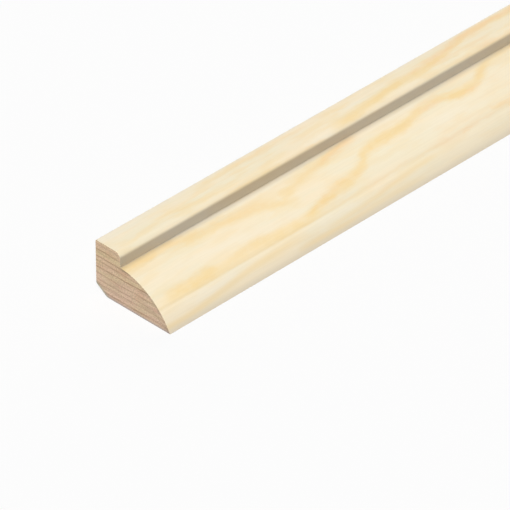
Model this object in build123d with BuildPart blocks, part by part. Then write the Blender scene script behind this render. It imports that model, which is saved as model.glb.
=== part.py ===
from build123d import *
import os

# Glazing bead: one length of softwood with a moulded face, which holds a pane of glass in its rebate.
# Sizes are in millimetres. The stick runs along Y and lies on its seat, with the origin under its
# middle. The face that meets the glass looks along -X, and the moulded face slopes down towards +X.

# The stick as it is sold
length = 2400.0
width = 15.0
height = 9.0

# The flat shoulder beside the glass, its rounded front edge, and the step from it down to the ovolo
shoulder_width = 5.0
nose_radius = 1.0
quirk_depth = 2.4

# The ovolo swells from the bottom of the quirk and runs out at the foot
ovolo_radius = 12.0

# The bevel along the hidden corner, which leaves room for sealant in the rebate
bevel_width = 2.2
bevel_height = 1.5

# Sanding takes the sharpness off the long edges of the back and the bevel
arris_radius = 0.2

# Lines of the section, measured from the middle of its width
back_x = -width / 2
quirk_x = back_x + shoulder_width
foot_x = width / 2
quirk_z = height - quirk_depth

with BuildPart() as glazing_bead:
    with BuildSketch(Plane.XZ) as section:
        with BuildLine() as outline:
            flats = Polyline(
                (foot_x, 0),
                (back_x + bevel_width, 0),
                (back_x, bevel_height),
                (back_x, height),
                (quirk_x, height),
                (quirk_x, quirk_z),
            )
            ovolo = RadiusArc(flats @ 1, flats @ 0, ovolo_radius)
        make_face()
        # The foot and the bottom of the quirk stay sharp, as the cutter leaves them
        hidden_corners = section.vertices().filter_by_position(Axis.X, back_x, back_x + bevel_width)
        fillet(hidden_corners, arris_radius)
        nose = section.vertices().group_by(Axis.Y)[-1].sort_by(Axis.X)[-1]
        fillet(nose, nose_radius)
    extrude(amount=length / 2, both=True)

glazing_bead.part.label = "glazing_bead"

os.makedirs("parts", exist_ok=True)
export_step(glazing_bead.part, "parts/glazing_bead.step")

box = glazing_bead.part.bounding_box()
print("glazing bead", box.min, box.max, "volume", glazing_bead.part.volume)
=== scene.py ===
# %% [markdown]
# A glazing bead in bare softwood
#
# The object is one long stick of moulded pine that holds a pane of glass in its rebate. Its shape is
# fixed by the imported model, so this lesson is about how such a stick can be drawn by hand in Blender,
# and how planed and sawn pine can be painted with nodes alone.
#
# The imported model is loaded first. The stick's length, width and height and the level of its seat are
# taken from its box, and the rest of the section is built up from there.

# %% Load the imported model
import math

import bpy
from mathutils import Color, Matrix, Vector


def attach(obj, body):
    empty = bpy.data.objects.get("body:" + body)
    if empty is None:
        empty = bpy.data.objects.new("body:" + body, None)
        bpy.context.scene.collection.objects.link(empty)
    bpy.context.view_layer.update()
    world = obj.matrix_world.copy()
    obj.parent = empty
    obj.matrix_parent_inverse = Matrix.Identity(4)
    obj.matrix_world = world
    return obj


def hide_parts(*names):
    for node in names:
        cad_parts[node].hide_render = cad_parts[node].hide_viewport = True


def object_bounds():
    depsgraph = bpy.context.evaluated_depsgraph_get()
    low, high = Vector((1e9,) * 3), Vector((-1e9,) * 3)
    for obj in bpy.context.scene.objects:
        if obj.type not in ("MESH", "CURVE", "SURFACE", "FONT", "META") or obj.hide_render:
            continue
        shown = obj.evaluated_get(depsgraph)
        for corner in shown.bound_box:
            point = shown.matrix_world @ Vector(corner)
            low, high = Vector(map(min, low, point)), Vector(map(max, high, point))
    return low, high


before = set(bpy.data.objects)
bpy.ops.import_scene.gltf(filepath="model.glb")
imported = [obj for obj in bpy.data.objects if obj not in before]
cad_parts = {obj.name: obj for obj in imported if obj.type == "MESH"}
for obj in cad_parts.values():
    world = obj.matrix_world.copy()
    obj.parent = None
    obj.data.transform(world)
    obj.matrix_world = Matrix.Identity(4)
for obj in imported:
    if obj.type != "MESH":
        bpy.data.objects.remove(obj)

mm = 0.001
cad_low, cad_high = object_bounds()
near_y, far_y = cad_low.y, cad_high.y
back_x, foot_x = cad_low.x, cad_high.x
seat_z, top_z = cad_low.z, cad_high.z
stick_length = far_y - near_y
print("stick", round(stick_length / mm), "mm long,", round((foot_x - back_x) / mm, 2), "mm wide")

# %% [markdown]
# Where the camera stands
#
# The picture was taken from far off with a long lens, so the edges of the stick run almost parallel.
# The camera could be aimed by eye. Here it is placed from one known point instead, which is easier to
# get exact: the lower back corner of the near end, as it would be without its bevel, sits at a given
# pixel, at a given distance, seen from a given side and height.

# %% Camera
picture_size = 510
focal_length_px = 5580.4
sensor_width_mm = 36.0
view_azimuth = math.radians(44.71)
view_elevation = math.radians(35.38)
corner_distance = 796.7 * mm
corner_px = (96.40, 290.95)

towards_camera = Vector((
    math.sin(view_azimuth) * math.cos(view_elevation),
    -math.cos(view_azimuth) * math.cos(view_elevation),
    math.sin(view_elevation),
))
camera_right = Vector((math.cos(view_azimuth), math.sin(view_azimuth), 0.0))
camera_up = towards_camera.cross(camera_right)
metres_per_px = corner_distance / focal_length_px
near_corner = Vector((back_x, near_y, seat_z))
corner_right = (corner_px[0] - picture_size / 2) * metres_per_px
corner_up = (picture_size / 2 - corner_px[1]) * metres_per_px

camera_data = bpy.data.cameras.new("camera")
camera_data.sensor_width = sensor_width_mm
camera_data.lens = focal_length_px * sensor_width_mm / picture_size
camera = bpy.data.objects.new("camera", camera_data)
bpy.context.scene.collection.objects.link(camera)
camera.location = (
    near_corner
    - camera_right * corner_right
    - camera_up * corner_up
    + towards_camera * corner_distance
)
camera.rotation_euler = towards_camera.to_track_quat("Z", "Y").to_euler()
bpy.context.scene.camera = camera
print("camera", [round(c, 3) for c in camera.location], "lens", round(camera_data.lens, 1), "mm")

# %% [markdown]
# Drawing the section
#
# A moulding is a flat section pulled along a line. Seen from the end, this one is a block under the
# shoulder, the shoulder itself, and a slice of a large circle, the ovolo, that runs out at the foot.
# It could be typed in as a list of points, but drawing it with the edit tools keeps every size named.
#
# The tools work on what is selected. By hand that is a click, and in code the parts are picked by
# where they lie, so a small helper comes first.

# %% Picking by place
hair = 1e-6


def same(a, b):
    return abs(a - b) < hair


def pick(piece, kind, test):
    """Selects the vertices, edges or faces of which all corners pass the test, in edit mode."""
    bpy.ops.object.mode_set(mode="EDIT")
    bpy.ops.mesh.select_mode(type=kind)
    bpy.ops.mesh.select_all(action="DESELECT")
    bpy.ops.object.mode_set(mode="OBJECT")
    mesh = piece.data
    points = [v.co for v in mesh.vertices]
    if kind == "VERT":
        parts, corners = mesh.vertices, [[v.co] for v in mesh.vertices]
    else:
        parts = mesh.edges if kind == "EDGE" else mesh.polygons
        corners = [[points[i] for i in part.vertices] for part in parts]
    for part, ends in zip(parts, corners):
        part.select = all(test(co) for co in ends)
    count = sum(part.select for part in parts)
    bpy.ops.object.mode_set(mode="EDIT")
    return count


print("places closer than", hair / mm, "mm count as one")

# %% [markdown]
# The ovolo is an arc from the bottom of the quirk, the step beside the shoulder, to the foot. Two
# circles of its radius pass through both points, and the one with the lower centre bulges outwards.
# That centre lies square to the middle of the straight line between the two points, at the distance
# that the radius leaves.

# %% Centre of the ovolo
shoulder_width = 5.0 * mm
quirk_depth = 2.4 * mm
ovolo_radius = 12.0 * mm

quirk_x = back_x + shoulder_width
quirk_z = top_z - quirk_depth
to_foot = Vector((foot_x - quirk_x, 0, seat_z - quirk_z))
half_chord = to_foot.length / 2
inward = Vector((to_foot.z, 0, -to_foot.x)).normalized()
ovolo_centre = (
    Vector((quirk_x, near_y, quirk_z))
    + to_foot / 2
    + inward * math.sqrt(ovolo_radius ** 2 - half_chord ** 2)
)
ovolo_angle = 2 * math.asin(half_chord / ovolo_radius)
print("ovolo turns by", round(math.degrees(ovolo_angle), 1), "degrees")

# %% [markdown]
# The loaded model is left selected, so everything is deselected first. A plane is then stood on edge
# for the block under the shoulder, and its top edge is pulled up for the shoulder. The bottom corner
# of the quirk is spun round the centre of the ovolo until it reaches the foot, and the open side is
# filled. A disc could be cut down to the same arc, but the spin makes only the part that is needed.

# %% Block, shoulder and ovolo
ovolo_steps = 30

bpy.ops.object.select_all(action="DESELECT")
bpy.ops.mesh.primitive_plane_add(
    size=1,
    calc_uvs=False,
    location=((back_x + quirk_x) / 2, near_y, (seat_z + quirk_z) / 2),
    rotation=(math.radians(90), 0, 0),
)
bead = bpy.context.object
bead.name = bead.data.name = "pine_bead"
bead.scale = (shoulder_width, quirk_z - seat_z, 1)
bpy.ops.object.transform_apply(location=True, rotation=True, scale=True)

pick(bead, "EDGE", lambda co: same(co.z, quirk_z))
bpy.ops.mesh.extrude_region_move(TRANSFORM_OT_translate={"value": (0, 0, quirk_depth)})
pick(bead, "VERT", lambda co: same(co.z, quirk_z) and same(co.x, quirk_x))
bpy.ops.mesh.spin(steps=ovolo_steps, angle=ovolo_angle, center=ovolo_centre, axis=(0, -1, 0))
bpy.ops.mesh.select_all(action="SELECT")
bpy.ops.mesh.remove_doubles(threshold=hair)
pick(bead, "VERT", lambda co: co.x > quirk_x - hair and co.z < quirk_z + hair)
bpy.ops.mesh.edge_face_add()
bpy.ops.object.mode_set(mode="OBJECT")
foot_gap = min((v.co - Vector((foot_x, near_y, seat_z))).length for v in bead.data.vertices)
print("the spun arc misses the foot by", foot_gap / mm, "mm")

# %% [markdown]
# The hidden corner has a bevel that leaves room for sealant. A slanted bisect takes it off in one cut,
# at exactly the width and height given. The faces are then joined to one flat outline.

# %% Cut the bevel
bevel_width, bevel_height = 2.2 * mm, 1.5 * mm

bpy.ops.object.mode_set(mode="EDIT")
bpy.ops.mesh.select_all(action="SELECT")
bpy.ops.mesh.bisect(
    plane_co=(back_x + bevel_width, near_y, seat_z),
    plane_no=Vector((bevel_height, 0, bevel_width)).normalized(),
    clear_inner=True,
)
bpy.ops.mesh.select_mode(type="FACE")
bpy.ops.mesh.select_all(action="SELECT")
bpy.ops.mesh.dissolve_faces()
bpy.ops.object.mode_set(mode="OBJECT")
print("outline is", len(bead.data.polygons), "face with", len(bead.data.vertices), "corners")

# %% [markdown]
# The outline's corners are rounded next: the nose of the shoulder with a clear 1 mm radius, and the
# other outer corners by the little that planing and handling leave. The corner of the quirk stays
# sharp. The long edges could be bevelled later instead, but rounding the corners of a flat outline is
# simpler, and lets each arc have its own number of steps.

# %% Round the corners
nose_radius = 1.0 * mm
arris_radius = 0.2 * mm
foot_radius = 0.03 * mm
bevel_slack = 1e-3


def round_corners(radius, steps, test):
    count = pick(bead, "VERT", test)
    bpy.ops.mesh.bevel(offset=radius, segments=steps, affect="VERTICES", profile=0.5)
    bpy.ops.object.mode_set(mode="OBJECT")
    print("rounded", count, "corners by", round(radius / mm, 2), "mm")


def on_bevel(co):
    across, up = (co.x - back_x) / bevel_width, (co.z - seat_z) / bevel_height
    return across < 1 + bevel_slack and abs(across + up - 1) < bevel_slack


round_corners(nose_radius, steps=8, test=lambda co: same(co.z, top_z) and same(co.x, quirk_x))
round_corners(arris_radius, steps=5, test=lambda co: same(co.z, top_z) and same(co.x, back_x))
round_corners(arris_radius, steps=3, test=on_bevel)
round_corners(foot_radius, steps=6, test=lambda co: same(co.z, seat_z) and co.x > foot_x - hair)

# %% [markdown]
# The pattern of the wood has to run round the stick, so each point of the outline is given its
# distance from the back top corner. That is done now, while the outline is still a single face and
# its corners come in order. The same distances tell later where the quirk and the foot are.

# %% Distance round the section
corners = [bead.data.vertices[i].co.copy() for i in bead.data.polygons[0].vertices]
start = min(range(len(corners)), key=lambda i: corners[i].x - corners[i].z)
outline = corners[start:] + corners[:start]
if outline[1].x < outline[-1].x:
    outline = outline[:1] + outline[:0:-1]

girth_at = {}
girth = 0.0
for here, following in zip(outline, outline[1:] + outline[:1]):
    girth_at[here.x, here.z] = girth
    girth += (following - here).length


def distance_round(co):
    nearest = min(girth_at, key=lambda xz: (xz[0] - co.x) ** 2 + (xz[1] - co.z) ** 2)
    return girth_at[nearest]


quirk_round = distance_round(Vector((quirk_x, near_y, quirk_z))) / mm
foot_round = distance_round(Vector((foot_x, near_y, seat_z))) / mm
print("outline has", len(outline), "corners and is", round(girth / mm, 2), "mm round")
print("quirk at", round(quirk_round, 2), "mm round, foot at", round(foot_round, 2))

# %% [markdown]
# The finished outline is pulled along the whole stick. Its long faces are then cut across into equal
# strips. The cuts don't show, but later they let each strip have its own place on a texture sheet, so
# that a stick 160 times as long as it is wide doesn't waste the sheet.

# %% Pull the section along the stick
strip_count = 7
strip_length = stick_length / strip_count

bpy.ops.object.mode_set(mode="EDIT")
bpy.ops.mesh.select_all(action="SELECT")
bpy.ops.mesh.extrude_region_move(TRANSFORM_OT_translate={"value": (0, stick_length, 0)})
for cut in range(1, strip_count):
    bpy.ops.mesh.select_all(action="SELECT")
    bpy.ops.mesh.bisect(plane_co=(0, near_y + cut * strip_length, 0), plane_no=(0, 1, 0))
bpy.ops.mesh.select_all(action="SELECT")
bpy.ops.mesh.normals_make_consistent(inside=False)
bpy.ops.object.mode_set(mode="OBJECT")
print("stick has", len(bead.data.polygons), "faces")

# %% [markdown]
# A saw leaves the rim of each end crisp, but never perfectly sharp. A bevel far finer than the eye can
# measure is enough for the rim to catch a thin line of light. The shading is smoothed only where faces
# meet at a small angle, which keeps the quirk crisp and the end faces flat.

# %% Ease the sawn rims
rim_radius = 0.04 * mm
smooth_below = math.radians(20)


def at_an_end(co):
    return min(co.y - near_y, far_y - co.y) < hair


rim_edges = pick(bead, "EDGE", at_an_end)
bpy.ops.mesh.bevel(offset=rim_radius, segments=2, affect="EDGES", profile=0.5)
bpy.ops.object.mode_set(mode="OBJECT")
bpy.ops.object.shade_smooth_by_angle(angle=smooth_below)
print("eased", rim_edges, "rim edges; the stick now has", len(bead.data.polygons), "faces")

# %% [markdown]
# Two maps for the surface
#
# The wood's figure is drawn flat, as on an opened-out paper wrapper. So the first map unrolls the
# stick: across it runs the distance from the near end, and up it the distance round the section, both
# in millimetres. Object coordinates could not do this, because the ovolo curves away from them. A
# face that crosses the back top corner, where the distance starts again, gets it counted on.

# %% Unroll the stick
halfway = girth / 2

wrap_map = bead.data.uv_layers.new(name="Wrap")
for face in bead.data.polygons:
    heights = [distance_round(bead.data.vertices[i].co) for i in face.vertices]
    crosses_start = max(heights) - min(heights) > halfway
    for loop, i, height in zip(face.loop_indices, face.vertices, heights):
        if crosses_start and height < halfway:
            height += girth
        along = bead.data.vertices[i].co.y - near_y
        wrap_map.data[loop].uv = (along / mm, height / mm)
print("unrolled", len(bead.data.polygons), "faces")

# %% [markdown]
# The second map packs the seven strips side by side, with both end faces in what is left of the sheet.
# Nothing in the render reads it. It is there for whoever bakes the wood to an image, because an
# automatic unwrap would leave a blurred pixel more than a millimetre long. A new map can move the
# others in memory, so the first one is looked up again by name.

# %% Pack the strips for baking
sheet_px = 1024
strip_px = 126
gap_px = 4
margin_px = 3
strip_scale = (sheet_px - 2 * margin_px) / strip_length
end_scale = 7.0 / mm
end_column = margin_px + strip_count * (strip_px + gap_px)


def is_end_face(face):
    return abs(face.normal.y) > 0.5


bake_map = bead.data.uv_layers.new(name="OFBake")
wrap_map = bead.data.uv_layers["Wrap"]
for face in bead.data.polygons:
    strip = min(int((face.center.y - near_y) / strip_length), strip_count - 1)
    for loop, i in zip(face.loop_indices, face.vertices):
        co = bead.data.vertices[i].co
        if is_end_face(face):
            left = end_column + (co.x - back_x) * end_scale
            up = margin_px + (co.z - seat_z) * end_scale
            up += (face.center.y > 0) * sheet_px / 2
        else:
            along, height = wrap_map.data[loop].uv
            left = margin_px + strip * (strip_px + gap_px) + height * mm * strip_scale
            up = margin_px + (co.y - near_y - strip * strip_length) * strip_scale
        bake_map.data[loop].uv = (left / sheet_px, up / sheet_px)
bead.data.uv_layers.active = wrap_map
print("bake sheet holds", round(strip_scale * mm, 2), "pixels per mm of the stick")

# %% [markdown]
# Small helpers for building materials
#
# A node tree is a long list of boxes and wires. It could be wired box by box, but then a reader sees
# the wiring and not the wood. These helpers keep each step to one line. The first ones make an empty
# material, turn a colour as a painting program shows it, from 0 to 255, into what the nodes need, and
# add a node with its inputs plugged in.

# %% Materials, colours and nodes
def new_material(name):
    material = bpy.data.materials.new(name)
    material.use_nodes = True
    material.node_tree.nodes.clear()
    return material, material.node_tree


def tint(red, green, blue):
    painted = Color((red / 255, green / 255, blue / 255))
    return (*painted.from_srgb_to_scene_linear(), 1.0)


def plug(tree, socket, value):
    if isinstance(value, bpy.types.NodeSocket):
        tree.links.new(value, socket)
    else:
        socket.default_value = value


def add(tree, kind, inputs=None, **settings):
    node = tree.nodes.new("ShaderNode" + kind)
    for name, value in settings.items():
        setattr(node, name, value)
    for name, value in (inputs or {}).items():
        plug(tree, node.inputs[name], value)
    return node


print("a painted mid grey of 128 is", round(tint(128, 128, 128)[0], 3), "to the nodes")

# %% [markdown]
# The next ones do sums, fade a value in or out between two places, and mix two colours. A fade may run
# backwards, from a larger place to a smaller one.

# %% Sums, fades and mixes
def calc(tree, operation, *values):
    node = add(tree, "Math", operation=operation)
    for socket, value in zip(node.inputs, values):
        plug(tree, socket, value)
    return node.outputs[0]


def product(tree, first, *others):
    for other in others:
        first = calc(tree, "MULTIPLY", first, other)
    return first


def fade(tree, value, start, end, low=0.0, high=1.0):
    inputs = {"Value": value, "From Min": start, "From Max": end, "To Min": low, "To Max": high}
    return add(tree, "MapRange", inputs, interpolation_type="SMOOTHSTEP").outputs["Result"]


def mix_colours(tree, share, first, second, mode="MIX"):
    node = add(tree, "Mix", {"Factor": share}, data_type="RGBA", blend_type=mode)
    colour_a, colour_b = [s for s in node.inputs if s.type == "RGBA"]
    plug(tree, colour_a, first)
    plug(tree, colour_b, second)
    return [s for s in node.outputs if s.type == "RGBA"][0]


print("helpers for sums, fades and mixes are ready")

# %% [markdown]
# Some effects are needed many times, and by both finishes, planed and sawn. Each of these is made as a
# node group with named inputs, so that it is built once and every use gives only its own values. One
# helper makes an empty group, and the other places a group in a tree.

# %% Node groups
def new_group(name, inputs, outputs):
    group = bpy.data.node_groups.new(name, "ShaderNodeTree")
    for title, kind in inputs.items():
        group.interface.new_socket(title, in_out="INPUT", socket_type="NodeSocket" + kind)
    for title, kind in outputs.items():
        group.interface.new_socket(title, in_out="OUTPUT", socket_type="NodeSocket" + kind)
    entrance = group.nodes.new("NodeGroupInput")
    exit_node = group.nodes.new("NodeGroupOutput")
    return group, entrance.outputs, exit_node.inputs


def use_group(tree, group, inputs):
    node = tree.nodes.new("ShaderNodeGroup")
    node.node_tree = group
    for name, value in inputs.items():
        plug(tree, node.inputs[name], value)
    return node.outputs


print("helpers for groups are ready")

# %% [markdown]
# One soft streak of darker wood
#
# Pine darkens where a growth ring's dense late wood comes to the surface. On a planed face that is a
# soft streak which wanders along the grain, and on a sawn end it is a thin line. Both could be painted
# on an image, but a mask made by nodes stays sharp at any size. It tells how far a point is across
# from the streak's middle line, faded out over the feather.

# %% Soft streak group
soft_streak, given, result = new_group(
    "Soft streak",
    {"Across": "Float", "Middle": "Float", "Half width": "Float", "Feather": "Float",
     "Strength": "Float"},
    {"Mask": "Float"},
)
offset = calc(soft_streak, "ABSOLUTE",
              calc(soft_streak, "SUBTRACT", given["Across"], given["Middle"]))
outside = calc(soft_streak, "ADD", given["Half width"], given["Feather"])
inside = calc(soft_streak, "SUBTRACT", given["Half width"], given["Feather"])
body = fade(soft_streak, offset, outside, inside)
plug(soft_streak, result["Mask"], product(soft_streak, body, given["Strength"]))
print("streak group has", len(soft_streak.nodes), "nodes")

# %% [markdown]
# A streak's middle line and its strength both change along the stick. A Float Curve node holds such a
# line as a curve with a few given points, so a streak is drawn by writing down where it goes:
# how far along, how far across, and how strong it is there. The node works from 0 to 1, so places are
# divided by a full reach on the way in, and multiplied back on the way out. The middle line's handles
# are free, so that it flows, and the strength's are clamped, so that it never overshoots its points.

# %% Draw streaks with curves
reach_along = 100.0
reach_across = 20.0


def drawn_curve(tree, along, points, full_scale=1.0, handle="AUTO_CLAMPED"):
    node = add(tree, "FloatCurve", {"Value": calc(tree, "DIVIDE", along, reach_along)})
    node.mapping.extend = "HORIZONTAL"
    curve = node.mapping.curves[0]
    for position, height in points[1:-1]:
        curve.points.new(position / reach_along, height / full_scale)
    for end, (position, height) in ((0, points[0]), (-1, points[-1])):
        curve.points[end].location = (position / reach_along, height / full_scale)
    for point in curve.points:
        point.handle_type = handle
    node.mapping.update()
    return product(tree, node.outputs["Value"], full_scale)


def draw_streaks(tree, along, across, streaks):
    """One mask of all streaks: each is (half width, feather, its points along, across, strength)."""
    total = 0.0
    for half_width, feather, points in streaks:
        middle = drawn_curve(tree, along, [(a, b) for a, b, _ in points],
                             full_scale=reach_across, handle="AUTO")
        strength = drawn_curve(tree, along, [(a, c) for a, _, c in points])
        mask = use_group(tree, soft_streak, {
            "Across": across, "Middle": middle, "Half width": half_width, "Feather": feather,
            "Strength": strength,
        })["Mask"]
        total = calc(tree, "MAXIMUM", total, mask)
    return total


print("streaks can be drawn up to", reach_along, "mm along and", reach_across, "mm across")

# %% [markdown]
# Planed faces: the figure
#
# On a real bead the cutter slices across the rings at a low angle, so the pale faces carry a few broad
# tan bands with thinner streaks between them. Noise alone could make bands like these, but never where
# the picture has them. So near the end they are drawn as strokes, read off the picture. Each
# is a half width, a feather, and the points it passes: millimetres along, millimetres round, strength.
#
# The broad bands come first: one on the shoulder, one under the quirk with a branch, the long one that
# crosses the ovolo, and the one over the foot.

# %% Strokes: broad bands
broad_bands = [
    (0.75, 0.75, [(43, 4.6, 0.0), (48, 4.1, 0.75), (51, 3.8, 0.85), (57, 3.2, 1.0), (64, 2.8, 0.9),
                  (69, 2.3, 1.0), (72, 1.6, 1.0), (75, 1.1, 0.8), (80, 1.0, 0.85), (90, 0.9, 0.6)]),
    (0.9, 0.8, [(0, 7.7, 0.9), (6, 7.7, 0.8), (10, 8.1, 0.7), (12, 8.6, 0.7), (18, 9.0, 0.7),
                (24, 9.6, 0.65), (27, 10.4, 0.65), (29.5, 11.4, 0.5), (32, 12.2, 0.0)]),
    (0.7, 0.7, [(28, 11.2, 0.0), (30, 10.2, 0.55), (33, 9.4, 0.6), (37, 8.8, 0.65),
                (42, 8.1, 0.8), (45, 7.4, 0.6), (48, 6.9, 0.0)]),
    (0.75, 0.7, [(28, 15.3, 0.0), (31, 14.8, 0.75), (34, 14.25, 1.0), (37, 13.7, 0.9),
                 (41, 13.0, 0.8), (44, 12.3, 0.75), (46, 11.0, 0.85), (48, 10.4, 0.9),
                 (52, 10.3, 0.85), (57, 9.9, 0.85), (60, 9.3, 0.7), (63, 9.1, 0.7),
                 (65, 9.7, 0.85), (67, 10.1, 1.0), (70, 10.1, 0.95), (72, 9.3, 0.8),
                 (74, 8.3, 0.7), (78, 7.4, 0.5), (84, 6.9, 0.6), (92, 6.4, 0.0)]),
    (0.9, 0.75, [(0, 14.7, 0.1), (1.8, 14.7, 0.2), (3.2, 14.7, 0.7), (8, 14.8, 0.85),
                 (11.5, 14.9, 0.8), (13.5, 15.1, 0.55), (18, 14.7, 0.6), (21, 14.6, 0.65),
                 (24, 15.0, 0.65), (28, 15.3, 0.65), (32, 15.6, 0.3), (35, 15.7, 0.0)]),
]
print("broad bands:", len(broad_bands))

# %% [markdown]
# Between the bands lie fainter tan streaks, and pale streaks where the early wood is almost white.

# %% Strokes: faint and pale streaks
faint_streaks = [
    (0.45, 0.5, [(20, 0.9, 0.0), (23, 0.9, 0.8), (29, 1.0, 0.95), (35, 0.9, 0.6), (38, 0.9, 0.0)]),
    (0.4, 0.6, [(9, 2.5, 0.0), (13, 3.0, 0.65), (17, 3.5, 1.0), (21, 3.8, 0.6), (26, 4.0, 0.35),
                (36, 4.1, 0.3), (40, 4.2, 0.0)]),
    (0.3, 0.5, [(44, 1.2, 0.0), (48, 1.2, 0.9), (51, 1.2, 0.0)]),
    (0.5, 0.45, [(16, 5.5, 0.0), (22, 5.4, 0.7), (30, 5.4, 0.9), (38, 5.4, 0.8), (42, 5.5, 0.0)]),
    (0.4, 0.5, [(67, 5.0, 0.0), (72, 5.1, 0.9), (79, 5.2, 1.0), (90, 5.3, 0.0)]),
    (0.3, 0.5, [(62, 3.4, 0.0), (66, 3.7, 0.8), (69, 3.7, 0.8), (72, 3.6, 0.0)]),
    (0.45, 0.4, [(69.5, 14.4, 0.0), (72, 14.9, 1.0), (75, 15.2, 0.6), (80, 15.3, 0.0)]),
    (0.2, 0.3, [(62.5, 15.6, 0.0), (64, 15.6, 1.0), (65.5, 15.5, 0.0)]),
    (0.3, 0.35, [(0, 15.65, 0.6), (20, 15.65, 0.6), (36, 15.6, 0.6), (45, 15.4, 0.5),
                 (65, 15.4, 0.5), (80, 15.4, 0.3), (92, 15.4, 0.0)]),
]
pale_streaks = [
    (0.9, 0.6, [(0, 0.7, 0.9), (7, 0.8, 0.7), (13, 0.8, 0.4), (20, 0.8, 0.0)]),
    (0.45, 0.4, [(9, 7.4, 0.0), (14, 7.45, 0.8), (22, 7.6, 1.0), (30, 7.5, 1.0), (36, 7.4, 0.0)]),
    (0.35, 0.4, [(37, 4.5, 0.0), (41, 4.6, 0.9), (46, 4.8, 0.9), (50, 4.9, 0.0)]),
    (0.5, 0.5, [(1, 16.8, 0.0), (6, 16.9, 0.7), (11, 16.9, 0.9), (15, 16.5, 0.4), (19, 16.3, 0.0)]),
    (0.4, 0.5, [(31, 16.4, 0.0), (36, 16.6, 0.8), (39, 16.6, 0.6), (44, 16.3, 0.0)]),
    (0.5, 0.5, [(47, 7.6, 0.0), (52, 7.5, 0.7), (56, 7.6, 0.8), (60, 7.9, 0.3), (65, 8.0, 0.0)]),
    (0.8, 0.8, [(54, 12.0, 0.0), (60, 12.4, 0.6), (64, 12.2, 0.8), (67, 12.6, 0.4),
                (72, 13.0, 0.0)]),
    (0.7, 0.8, [(1, 11.8, 0.0), (6, 11.6, 0.5), (12, 12.0, 0.6), (20, 12.6, 0.5),
                (27, 13.2, 0.4), (32, 12.8, 0.0)]),
    (0.4, 0.5, [(47, 1.9, 0.0), (51, 1.9, 0.8), (54, 1.9, 0.4), (59, 1.7, 0.0)]),
    (0.3, 0.4, [(34, 3.9, 0.0), (38, 4.1, 0.6), (42, 4.3, 0.5), (46, 4.3, 0.0)]),
    (0.3, 0.4, [(35, 7.4, 0.0), (39, 7.3, 0.6), (42, 7.2, 0.3), (45, 7.1, 0.0)]),
]
print("faint streaks:", len(faint_streaks), "and pale ones:", len(pale_streaks))

# %% [markdown]
# The foot, the steep last stretch of the ovolo, has streaks of its own. A dark seam with a light one
# beside it parts it from the rest, and a broad light band lies above them. The seam and the band are
# painted shade and painted light, for a change in shading at the top of the foot. The section shows no
# step there, so the seam is tone alone.

# %% Strokes: the foot and its seam
foot_streaks = [
    (0.45, 0.4, [(0, 18.5, 1.0), (4, 18.5, 1.0), (9, 18.1, 0.8), (15, 17.4, 0.6), (21, 17.0, 0.6),
                 (26, 16.9, 0.3), (30, 16.9, 0.0)]),
    (0.45, 0.4, [(26, 18.5, 0.0), (29, 18.5, 0.8), (34, 18.6, 1.0), (39, 18.6, 0.6),
                 (42, 18.4, 0.5), (48, 18.3, 0.5), (54, 18.4, 0.0)]),
    (0.35, 0.4, [(32, 17.9, 0.0), (37, 17.7, 0.5), (42, 17.4, 0.5), (46, 17.0, 0.6),
                 (52, 16.6, 0.5), (58, 16.3, 0.0)]),
]
# Painted light and shade: the seam's light and dark lines, and the light band above them.
painted_light_seams = [
    (0.12, 0.2, [(0, 16.08, 0.9), (30, 16.1, 1.0), (60, 16.0, 0.5), (92, 16.0, 0.3)]),
    (0.55, 0.4, [(0, 14.7, 0.7), (5, 14.8, 1.0), (20, 14.8, 0.9), (28, 14.8, 0.8), (36, 14.8, 0.0)]),
]
painted_shade_seams = [
    (0.12, 0.2, [(0, 15.62, 0.9), (30, 15.6, 0.9), (44, 15.5, 0.6), (92, 15.5, 0.4)]),
    (0.3, 0.3, [(32, 15.25, 0.0), (42, 15.25, 0.9), (60, 15.3, 0.9), (92, 15.3, 0.6)]),
]
print("foot streaks:", len(foot_streaks), "and seams:", len(painted_light_seams) + len(painted_shade_seams))

# %% [markdown]
# A pattern has to know where on the wood it is. What is drawn reads the unrolled map, because strokes
# follow the surface. What grows reads Object coordinates, because fibres and rings run straight
# through the wood, whatever the cutter took off it. Both count in millimetres.

# %% Planed pine: places
def place_in_mm(tree):
    place = add(tree, "TexCoord").outputs["Object"]
    return add(tree, "VectorMath", {"Vector": place, "Scale": 1 / mm},
               operation="SCALE").outputs["Vector"]


planed, tree = new_material("planed_pine")
unrolled = add(tree, "UVMap", uv_map="Wrap").outputs["UV"]
unrolled_xyz = add(tree, "SeparateXYZ", {"Vector": unrolled}).outputs
along, around = unrolled_xyz["X"], unrolled_xyz["Y"]
place = place_in_mm(tree)
print("planed pine starts with", len(tree.nodes), "nodes")

# %% [markdown]
# Grain
#
# Wood varies slowly along its fibres and quickly across them. Plain noise is the same in every
# direction, so the place is squeezed along the fibres before the noise reads it, which draws the
# pattern out. The smaller the squeeze's number, the longer the grain.
#
# Grain can also shake a distance. Noise is 0.5 on average, so that is taken off first, and the
# distance stays where it was on the whole.

# %% Wood grain group
average_noise = 0.5

wood_grain, given, result = new_group(
    "Wood grain",
    {"Place": "Vector", "Squeeze": "Vector", "Scale": "Float", "Detail": "Float",
     "Roughness": "Float"},
    {"Value": "Float"},
)
squeezed = add(wood_grain, "VectorMath", {0: given["Place"], 1: given["Squeeze"]},
               operation="MULTIPLY").outputs["Vector"]
noise = add(wood_grain, "TexNoise", {
    "Vector": squeezed, "Scale": given["Scale"], "Detail": given["Detail"],
    "Roughness": given["Roughness"],
})
plug(wood_grain, result["Value"], noise.outputs["Fac"])


def grain(tree, place, squeeze, scale, detail=2.0, roughness=0.5):
    return use_group(tree, wood_grain, {
        "Place": place, "Squeeze": squeeze, "Scale": scale, "Detail": detail,
        "Roughness": roughness,
    })["Value"]


def shaken(tree, distance, grain_value, reach):
    centred = calc(tree, "SUBTRACT", grain_value, average_noise)
    return calc(tree, "MULTIPLY_ADD", centred, reach, distance)


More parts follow.
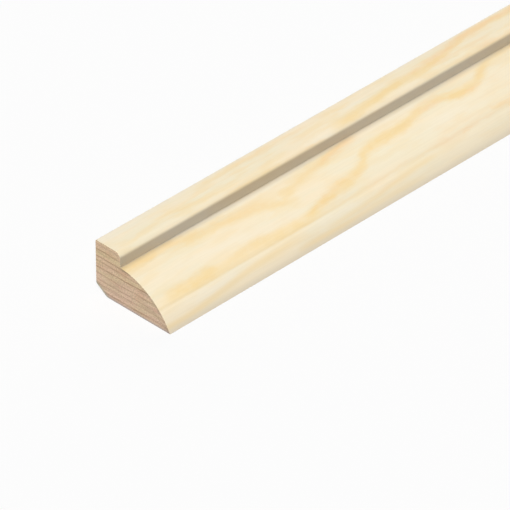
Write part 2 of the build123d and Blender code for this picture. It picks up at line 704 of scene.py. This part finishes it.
print("grain group has", len(wood_grain.nodes), "nodes")

# %% [markdown]
# A drawn curve is too smooth for wood. So the distance round is shaken by two grains before the
# strokes read it: a long one that makes a band wander, and a shorter one that frays its edges like
# small flames. The foot's streaks stay unshaken, because they are straighter. A blotch then makes the
# bands stronger here and weaker there.

# %% Planed pine: shaken strokes
streaky = (1.0, 0.2, 1.0)
flamy = (1.0, 0.6, 1.0)
wander, fray = 1.7, 0.9

wandering = grain(tree, place, streaky, 0.8, detail=4.0, roughness=0.6)
fraying = grain(tree, place, flamy, 0.9, detail=3.0, roughness=0.6)
shaken_around = shaken(tree, shaken(tree, around, wandering, wander), fraying, fray)

blotch_noise = grain(tree, place, flamy, 0.6, detail=3.0, roughness=0.6)
blotch = fade(tree, blotch_noise, 0.35, 0.6, low=0.8, high=1.15)
band_figure = product(tree, draw_streaks(tree, along, shaken_around, broad_bands), blotch)
faint_figure = draw_streaks(tree, along, shaken_around, faint_streaks)
pale_figure = draw_streaks(tree, along, shaken_around, pale_streaks)
foot_figure = draw_streaks(tree, along, around, foot_streaks)
print("strokes use", len(tree.nodes), "nodes")

# %% [markdown]
# Growth rings, away from the photographed end
#
# More than two metres of the stick can't be seen in the picture, and drawing them all by hand would be
# slow. There the streaks come from the rings themselves. The tree's rings lie almost level in this
# stick, so a ring number that grows with height, pushed up and down by slow noise, gives long
# wandering figure on the flat top and closer lines on the sides, as in a real board. Each ring darkens
# slowly through its late wood, and pales again quickly at its end.

# %% Growth ring group
quick_share = 0.3

growth_rings, given, result = new_group(
    "Growth rings",
    {"Height": "Float", "Pitch": "Float", "Sway": "Float", "Late wood": "Float"},
    {"Mask": "Float"},
)
ring_number = calc(growth_rings, "DIVIDE", given["Height"], given["Pitch"])
ring_number = calc(growth_rings, "ADD", ring_number, given["Sway"])
through_ring = calc(growth_rings, "FRACT", ring_number)
late_start = calc(growth_rings, "SUBTRACT", 1.0, given["Late wood"])
late_peak = calc(growth_rings, "MULTIPLY_ADD", given["Late wood"], -quick_share, 1.0)
rise = fade(growth_rings, through_ring, late_start, late_peak)
fall = fade(growth_rings, through_ring, 1.0, late_peak)
plug(growth_rings, result["Mask"], calc(growth_rings, "MINIMUM", rise, fall))
print("ring group has", len(growth_rings.nodes), "nodes")

# %% [markdown]
# The rings take over where the drawn strokes end, and on the seat, the bevel and the back. A soft fade
# along the stick hides the first change, and the second is tucked a little way under the foot. Another
# slow grain weakens the rings here and there.

# %% Planed pine: rings beyond the strokes
drawn_ends, rings_begin = 82.0, 92.0
tuck_under, tuck_softness = 0.17, 0.1
ring_pitch, late_wood = 2.6, 0.65
swaying = (1.0, 0.18, 1.0)
sway_reach = 5.0

foot_edge = foot_round + tuck_under
past_drawn = fade(tree, along, drawn_ends, rings_begin)
hidden_side = fade(tree, around, foot_edge, foot_edge + tuck_softness)
ring_share = calc(tree, "MAXIMUM", past_drawn, hidden_side)

height = add(tree, "SeparateXYZ", {"Vector": place}).outputs["Z"]
rings = use_group(tree, growth_rings, {
    "Height": height, "Pitch": ring_pitch, "Late wood": late_wood,
    "Sway": product(tree, grain(tree, place, swaying, 0.13), sway_reach),
})["Mask"]
ring_tone = fade(tree, grain(tree, place, streaky, 0.25), 0.3, 0.7, low=0.35)
figure = calc(tree, "MAXIMUM", band_figure, product(tree, rings, ring_tone, ring_share))
print("figure uses", len(tree.nodes), "nodes")

# %% [markdown]
# Planed faces: the colour
#
# One flat colour would look like plastic, so colour is laid on in thin coats, as a painter glazes. The
# cream of the early wood drifts between a warm and a cool tone, and is cooler further along. The tan
# of the late wood drifts between golden and orange, and is more orange further along.

# %% Planed pine: cream and tan
warm_cream = tint(252, 237, 207)
cool_cream = tint(248, 237, 209)
golden_tan = tint(249, 222, 166)
orange_tan = tint(250, 215, 165)
cream_cools = (45.0, 70.0)
tan_reddens = (15.0, 60.0)

cream_patches = fade(tree, grain(tree, place, streaky, 0.3), 0.4, 0.6)
cream_drift = calc(tree, "MAXIMUM", cream_patches, fade(tree, along, *cream_cools, high=0.6))
cream = mix_colours(tree, cream_drift, warm_cream, cool_cream)
tan_patches = fade(tree, grain(tree, place, streaky, 0.35), 0.45, 0.65)
tan_drift = product(tree, tan_patches, fade(tree, along, *tan_reddens, low=0.1, high=0.9))
tan = mix_colours(tree, tan_drift, golden_tan, orange_tan)
print("cream and tan bring it to", len(tree.nodes), "nodes")

# %% [markdown]
# A mottle of tan breaks up the cream, more on the shoulder than on the ovolo. Over it go the pale
# streaks, the bands and the faint streaks.

# %% Planed pine: coats of figure
pale = tint(250, 240, 217)
pale_strength, faint_strength = 0.8, 0.6
shoulder_mottle, ovolo_mottle = 0.44, 0.26
mottle_weakens = (4.0, 8.0)

mottle_noise = grain(tree, place, streaky, 0.9, detail=3.0, roughness=0.45)
mottle = product(tree, fade(tree, mottle_noise, 0.4, 0.68, low=0.15),
                 fade(tree, around, *mottle_weakens, low=shoulder_mottle, high=ovolo_mottle))
wood = mix_colours(tree, mottle, cream, tan)
wood = mix_colours(tree, product(tree, pale_figure, pale_strength), wood, pale)
colour = mix_colours(tree, figure, wood, tan)
colour = mix_colours(tree, product(tree, faint_figure, faint_strength), colour, tan)
print("the figure's coats bring it to", len(tree.nodes), "nodes")

# %% [markdown]
# The foot takes the same wood with its own streaks, laid over the rest with a mask that is nearly
# sharp at the seam, and only as far as strokes are drawn. It is greyed more and more towards its lower
# edge.

# %% Planed pine: foot
grey_foot = tint(238, 224, 197)
foot_greying = 0.6
foot_seam, seam_softness = 15.86, 0.15
seat_softness = 0.2

above_seat = fade(tree, around, foot_edge + seat_softness, foot_edge)
foot_share = product(
    tree,
    fade(tree, around, foot_seam - seam_softness, foot_seam + seam_softness),
    above_seat,
    calc(tree, "SUBTRACT", 1.0, past_drawn),
)
colour = mix_colours(tree, foot_share, colour, mix_colours(tree, foot_figure, wood, tan))
greying = product(tree, fade(tree, around, foot_seam, foot_edge, high=foot_greying), above_seat)
colour = mix_colours(tree, greying, colour, grey_foot)
print("the foot brings it to", len(tree.nodes), "nodes")

# %% [markdown]
# Light and dark come next, as one shade that multiplies the colour so far. It is made of the fine
# fibre, a slight fall along the stick, a slightly duller shoulder, and the seam over the foot. The
# fibre is the wood's own, and the fall, the duller shoulder and the seam are painted shade and light.
# One shade for all four changes how light the wood is, and leaves its hue alone.

# %% Planed pine: fibre and shade
fibrous = (1.0, 0.03, 1.0)
light_fall_along, far_painted_shade = (45.0, 75.0), 0.99
shoulder_ends, shoulder_painted_shade = (4.6, 5.4), 0.986
seam_contrast = 0.028

fibre = grain(tree, place, fibrous, 4.0, detail=3.0, roughness=0.6)
seam = calc(tree, "SUBTRACT", draw_streaks(tree, along, around, painted_light_seams),
            draw_streaks(tree, along, around, painted_shade_seams))
# Painted shade and light: the fall along the stick, the duller shoulder and the seam over the foot.
shade = product(
    tree,
    fade(tree, fibre, 0.3, 0.7, low=0.98, high=1.005),
    fade(tree, along, *light_fall_along, low=1.0, high=far_painted_shade),
    fade(tree, around, *shoulder_ends, low=shoulder_painted_shade, high=1.0),
    calc(tree, "MULTIPLY_ADD", seam, seam_contrast, 1.0),
)
grey = add(tree, "CombineColor", {"Red": shade, "Green": shade, "Blue": shade}).outputs["Color"]
colour = mix_colours(tree, 1.0, colour, grey, "MULTIPLY")
print("the shade brings it to", len(tree.nodes), "nodes")

# %% [markdown]
# Edge tones
#
# Wood takes another tone near where it ends: at the long edges of the planed faces, and at the rim of
# the sawn ends. At the back top corner the tone is painted light. At the foot and the sawn rims it is
# darker, and at the bottom of the ends that darkening is painted shade. A tone that fades in as the
# distance to the edge falls does all of these. It could also be found from the curve of the mesh, but
# by distance it is as wide as it is meant to be, whatever the mesh.

# %% Edge tone group
edge_tone, given, result = new_group(
    "Edge tone",
    {"Colour": "Color", "Edge colour": "Color", "Distance": "Float", "Begins": "Float",
     "Full": "Float", "Strength": "Float"},
    {"Colour": "Color"},
)
edge_share = product(edge_tone, fade(edge_tone, given["Distance"], given["Begins"], given["Full"]),
               given["Strength"])
plug(edge_tone, result["Colour"],
     mix_colours(edge_tone, edge_share, given["Colour"], given["Edge colour"]))


def tone_edge(tree, colour, worn_colour, distance, begins, full, strength):
    return use_group(tree, edge_tone, {
        "Colour": colour, "Edge colour": worn_colour, "Distance": distance, "Begins": begins,
        "Full": full, "Strength": strength,
    })["Colour"]


print("edge wear group has", len(edge_tone.nodes), "nodes")

# %% [markdown]
# The back top corner is painted pale, for about half a millimetre to each side: painted light that
# lifts its rounding, which turns away from the main lamp. The foot is a thin edge, and it is greyer
# over its last millimetre.

# %% Planed pine: long edges
pale_corner_light = tint(245, 233, 211)
foot_edge_grey = tint(227, 214, 191)
corner_light_strength, foot_edge_strength = 0.6, 0.65
corner_light_span, foot_edge_span = (0.6, 0.15), (1.3, 0.3)

from_corner = calc(tree, "MINIMUM", around, calc(tree, "SUBTRACT", girth / mm, around))
from_foot = calc(tree, "SUBTRACT", foot_edge, around)
# Painted light: the back top corner is lifted pale.
colour = tone_edge(tree, colour, pale_corner_light, from_corner, *corner_light_span, corner_light_strength)
colour = tone_edge(tree, colour, foot_edge_grey, from_foot, *foot_edge_span,
                   product(tree, above_seat, foot_edge_strength))
print("the worn edges bring it to", len(tree.nodes), "nodes")

# %% [markdown]
# The wall of the quirk is dull taupe. Part of that is shadow from the lamps, and the rest is painted
# shade in the wall's colour, which goes from golden to grey and back along the stick and fades in over
# the last part of the nose. Painted shade also darkens the corner under the wall, and the first
# millimetre of the ovolo.

# %% Planed pine: quirk
golden_wall_shade = tint(184, 168, 144)
grey_wall_shade = tint(180, 172, 160)
corner_shade_grey = tint(208, 207, 207)
wall_strength, corner_shade_strength = 0.8, 0.75
wall_softness, corner_shade_reach, corner_shade_start = 0.3, 1.05, 0.1
greyness = [(0, 0.3), (6, 0.5), (12, 1.0), (19, 0.4), (27, 0.05), (36, 0.3), (55, 0.6),
            (70, 0.9), (79, 0.4), (100, 0.6)]
nose_bottom = quirk_round - (quirk_depth - nose_radius) / mm

# Painted shade: the corner under the wall and the first millimetre of the ovolo are darkened.
corner_shade_share = product(
    tree,
    fade(tree, around, quirk_round, quirk_round + corner_shade_reach, low=corner_shade_strength, high=0.0),
    fade(tree, around, quirk_round - corner_shade_start, quirk_round),
)
colour = mix_colours(tree, corner_shade_share, colour, corner_shade_grey, "MULTIPLY")
# Painted shade: the wall of the quirk takes a dull taupe colour in place of its shade.
wall_shade_share = product(
    tree,
    fade(tree, around, nose_bottom - 2 * wall_softness, nose_bottom),
    fade(tree, around, quirk_round + wall_softness, quirk_round),
    wall_strength,
)
wall = mix_colours(tree, drawn_curve(tree, along, greyness), golden_wall_shade, grey_wall_shade)
colour = mix_colours(tree, wall_shade_share, colour, wall)
print("colour uses", len(tree.nodes), "nodes")

# %% [markdown]
# Planed faces: the surface
#
# A planer leaves a dry, matt face, a little closer and shinier over the dense late wood. The fibre
# lifts it by about a hundredth of a millimetre, just enough to break up the light at a low angle. Real
# geometry that fine would cost millions of faces, so it is bump.

# %% Planed pine: surface
fibre_lift = 0.02 * mm
early_roughness, late_roughness = 0.62, 0.52

relief = add(tree, "Bump", {"Height": fibre, "Distance": fibre_lift, "Strength": 1.0})
surface = add(tree, "BsdfPrincipled", {
    "Base Color": colour,
    "Roughness": fade(tree, figure, 0.0, 1.0, low=early_roughness, high=late_roughness),
    "Specular IOR Level": 0.25,
    "Normal": relief.outputs["Normal"],
})
add(tree, "OutputMaterial", {"Surface": surface.outputs["BSDF"]})
bead.data.materials.append(planed)
print("planed pine has", len(tree.nodes), "nodes")

# %% [markdown]
# Sawn ends: the ring lines
#
# The end shows the cut ends of the fibres, and the growth rings cross it as thin level lines, about a
# millimetre apart. The ring group could make them, but not at the picture's heights, so they are drawn
# with the same strokes, this time across the end: how far from the back, how high, and how strong. A
# grain drawn out sideways shakes them and breaks them up.

# %% Sawn end: ring lines
ring_lines = [
    (0.1, 0.12, [(0, 8.55, 0.5), (2, 8.55, 0.5), (4.5, 8.5, 0.4)]),
    (0.12, 0.12, [(0, 7.58, 0.8), (2, 7.6, 0.8), (3.4, 7.58, 0.6), (4.8, 7.55, 0.4)]),
    (0.12, 0.1, [(0, 6.38, 1.0), (3, 6.4, 1.0), (5, 6.35, 0.9), (7, 6.3, 0.4)]),
    (0.1, 0.12, [(0, 5.62, 0.75), (4, 5.62, 0.7), (6, 5.58, 0.5), (8, 5.55, 0.4)]),
    (0.12, 0.09, [(0, 4.53, 0.9), (4, 4.62, 1.0), (8, 4.72, 1.0), (10.5, 4.8, 1.0)]),
    (0.1, 0.12, [(0, 3.47, 0.7), (5, 3.5, 0.75), (11, 3.56, 0.75)]),
    (0.1, 0.12, [(0, 2.4, 0.7), (6, 2.46, 0.7), (13, 2.55, 0.55)]),
    (0.1, 0.12, [(0, 1.62, 0.8), (6, 1.7, 0.55), (11, 1.8, 0.7), (14, 1.8, 0.6)]),
    (0.12, 0.1, [(1, 0.62, 1.0), (6, 0.7, 0.9), (10, 0.78, 0.9), (15, 0.7, 0.9)]),
]
level = (0.18, 1.0, 1.0)
line_shake = 0.4

sawn, tree = new_material("sawn_pine_end")
place = place_in_mm(tree)
place_xyz = add(tree, "SeparateXYZ", {"Vector": place}).outputs
from_back = calc(tree, "SUBTRACT", place_xyz["X"], back_x / mm)
height = place_xyz["Z"]

shaken_height = shaken(tree, height, grain(tree, place, level, 1.1), line_shake)
line_breaks = fade(tree, grain(tree, place, level, 2.2), 0.35, 0.6, low=0.6, high=1.1)
lines = product(tree, draw_streaks(tree, from_back, shaken_height, ring_lines), line_breaks)
print("ring lines:", len(ring_lines), "with", len(tree.nodes), "nodes")

# %% [markdown]
# Sawn ends: the colour
#
# Cut fibre ends drink in light, so the end is darker and browner than the faces. Its ground drifts
# between pinkish and olive, with a few redder blushes. An image of real end grain would repeat or
# blur, and noise drawn out sideways does neither.

# %% Sawn end: ground
pinkish = tint(247, 213, 189)
olive = tint(241, 217, 181)
blush = tint(242, 194, 167)
patchy = (0.45, 1.0, 1.0)

hue = fade(tree, grain(tree, place, level, 0.9), 0.36, 0.64)
colour = mix_colours(tree, hue, pinkish, olive)
blushes = fade(tree, grain(tree, place, patchy, 0.8), 0.5, 0.7, high=0.55)
colour = mix_colours(tree, blushes, colour, blush)
print("the ground brings it to", len(tree.nodes), "nodes")

# %% [markdown]
# Over the ground lie long faint streaks, the speckle of single fibres and the ring lines. Towards the
# top the end is a little more amber, which takes only a touch of blue away.

# %% Sawn end: streaks, speckle and lines
speckle_dark = tint(196, 170, 142)
line_colour = tint(184, 150, 124)
amber = tint(255, 255, 246)
long_drawn = (0.08, 1.0, 1.0)
even = (1.0, 1.0, 1.0)
line_strength = 0.8
amber_rises = (2.0, 6.5)

streak_noise = grain(tree, place, long_drawn, 2.6, roughness=0.6)
speckle_noise = grain(tree, place, even, 4.5, roughness=0.7)
colour = mix_colours(tree, fade(tree, streak_noise, 0.4, 0.72, high=0.5), colour, speckle_dark)
colour = mix_colours(tree, fade(tree, speckle_noise, 0.4, 0.7, high=0.9), colour, speckle_dark)
colour = mix_colours(tree, product(tree, lines, line_strength), colour, line_colour)
colour = mix_colours(tree, fade(tree, height, *amber_rises), colour, amber, "MULTIPLY")
print("streaks, speckle and lines bring it to", len(tree.nodes), "nodes")

# %% [markdown]
# The saw frays the fibres along the rim, and the rim is darker. Along the seat and the bevel, at the
# bottom of the end, that darkening is painted shade. The rim is toned in by distance, like the long
# edges: to the ovolo's circle and to the seat in millimetres, and to the bevel as the sum of two
# shares, which is 1 on the bevel itself. Along the ovolo the rim is weak and broken, and weaker still
# towards the foot.

# %% Sawn end: frayed rim
rim_olive = tint(172, 156, 124)
rim_lilac_shade = tint(186, 170, 168)
rim_green_shade = tint(178, 178, 160)
ovolo_fray, seat_shade_span, bevel_shade_span = (0.6, 0.15), (0.55, 0.1), (1.6, 1.0)
ovolo_weakens = (12.0, 15.0)
low_rim_shade_strength = 0.75
quirk_from_back = shoulder_width / mm
quirk_softness = 0.05

across = calc(tree, "SUBTRACT", from_back, (ovolo_centre.x - back_x) / mm)
up = calc(tree, "SUBTRACT", height, ovolo_centre.z / mm)
radius_here = calc(tree, "SQRT", calc(tree, "ADD", product(tree, across, across),
                                      product(tree, up, up)))
to_ovolo = calc(tree, "SUBTRACT", ovolo_radius / mm, radius_here)
ovolo_strength = product(
    tree,
    fade(tree, from_back, quirk_from_back - quirk_softness, quirk_from_back + quirk_softness),
    fade(tree, grain(tree, place, even, 0.9), 0.38, 0.6, low=0.25),
    fade(tree, from_back, *ovolo_weakens, low=0.5, high=0.25),
)
past_bevel = calc(tree, "ADD", calc(tree, "DIVIDE", from_back, bevel_width / mm),
                  calc(tree, "DIVIDE", height, bevel_height / mm))

colour = tone_edge(tree, colour, rim_olive, to_ovolo, *ovolo_fray, ovolo_strength)
# Painted shade: the rim along the seat and the bevel is darkened.
colour = tone_edge(tree, colour, rim_lilac_shade, height, *seat_shade_span, low_rim_shade_strength)
colour = tone_edge(tree, colour, rim_green_shade, past_bevel, *bevel_shade_span, low_rim_shade_strength)
print("sawn colour uses", len(tree.nodes), "nodes")

# %% [markdown]
# Sawn ends: the surface
#
# Cut fibre ends make the surface rougher than a planed face, with the hard ring lines standing up a
# little where the saw could tear less out of them. The relief is bump again, more than twice as high
# as the fibre of the planed faces.

# %% Sawn end: surface
saw_lift = 0.05 * mm
line_lift = 0.5

saw_marks = grain(tree, place, level, 3.5, detail=3.0, roughness=0.7)
saw_height = calc(tree, "MULTIPLY_ADD", lines, line_lift, saw_marks)
relief = add(tree, "Bump", {"Height": saw_height, "Distance": saw_lift, "Strength": 1.0})
surface = add(tree, "BsdfPrincipled", {
    "Base Color": colour,
    "Roughness": 0.8,
    "Specular IOR Level": 0.2,
    "Normal": relief.outputs["Normal"],
})
add(tree, "OutputMaterial", {"Surface": surface.outputs["BSDF"]})
bead.data.materials.append(sawn)
print("sawn end has", len(tree.nodes), "nodes")

# %% [markdown]
# A mesh can wear several materials, one for each face. Those that look along the stick are sawn, and
# all others keep the first material, the planed one.

# %% Sawn faces
sawn_index = len(bead.data.materials) - 1
for face in bead.data.polygons:
    face.material_index = sawn_index if is_end_face(face) else 0
print("sawn faces:", sum(face.material_index == sawn_index for face in bead.data.polygons))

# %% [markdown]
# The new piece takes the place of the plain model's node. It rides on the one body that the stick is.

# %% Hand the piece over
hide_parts("glazing_bead")
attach(bead, "root")

# %% [markdown]
# Floor and light
#
# The stick lies on a plain white floor that reaches far beyond it. A floor lit white by lamps would
# take the pale wood to white as well. So the floor glows, for the camera only, and just a faint shadow
# is left on it. To every other ray it is a mid grey, so that it doesn't throw too much light back up.

# %% Floor
floor_radius = 120.0
floor_corners = 96
floor_glow = 0.80
floor_seen = tint(118, 118, 118)
floor_met = tint(165, 165, 165)

bpy.ops.object.select_all(action="DESELECT")
bpy.ops.mesh.primitive_circle_add(vertices=floor_corners, radius=floor_radius, fill_type="NGON",
                                  location=(0, 0, seat_z))
floor = bpy.context.object
floor.name = "floor"
paint, tree = new_material("white_floor")
seen = add(tree, "LightPath").outputs["Is Camera Ray"]
surface = add(tree, "BsdfPrincipled", {
    "Base Color": mix_colours(tree, seen, floor_met, floor_seen),
    "Roughness": 1.0,
    "Specular IOR Level": 0.0,
    "Emission Color": (1.0, 1.0, 1.0, 1.0),
    "Emission Strength": product(tree, seen, floor_glow),
})
add(tree, "OutputMaterial", {"Surface": surface.outputs["BSDF"]})
floor.data.materials.append(paint)
print("floor reaches", floor_radius, "m")

# %% [markdown]
# One large soft lamp does most of the work. It stands high on the camera's side and a little towards
# the sawn end. The shoulder and the ovolo face it best and are bright, the sawn end is a step darker,
# and the upright wall of the quirk is darkest. A low lamp behind, a third as bright and softer still,
# keeps the back from going dull in other views.

# %% Lamps
def lamp(name, towards, brightness, spread):
    data = bpy.data.lights.new(name, "SUN")
    data.energy = brightness * math.pi
    data.angle = math.radians(spread)
    light = bpy.data.objects.new(name, data)
    light.rotation_euler = Vector(towards).to_track_quat("Z", "Y").to_euler()
    bpy.context.scene.collection.objects.link(light)
    print(name, "lamp", brightness)


lamp("key", towards=(0.40, -0.52, 0.755), brightness=0.90, spread=25)
lamp("fill", towards=(-0.70, 0.66, 0.22), brightness=0.30, spread=60)

# %% [markdown]
# The sky behind is as white as the floor, but again for the camera only. The wood sees an even sky
# that is less than a quarter as bright, which lifts the shadows without bleaching the colours.

# %% Sky
sky_level = 0.22
background_level = 0.983

world = bpy.data.worlds.new("studio")
bpy.context.scene.world = world
world.use_nodes = True
tree = world.node_tree
tree.nodes.clear()
seen = add(tree, "LightPath").outputs["Is Camera Ray"]
sky = add(tree, "Background", {
    "Color": (1.0, 1.0, 1.0, 1.0),
    "Strength": fade(tree, seen, 0.0, 1.0, low=sky_level, high=background_level),
})
add(tree, "OutputWorld", {"Surface": sky.outputs["Background"]})
bpy.context.scene.view_settings.view_transform = "Standard"
print("sky level", sky_level)
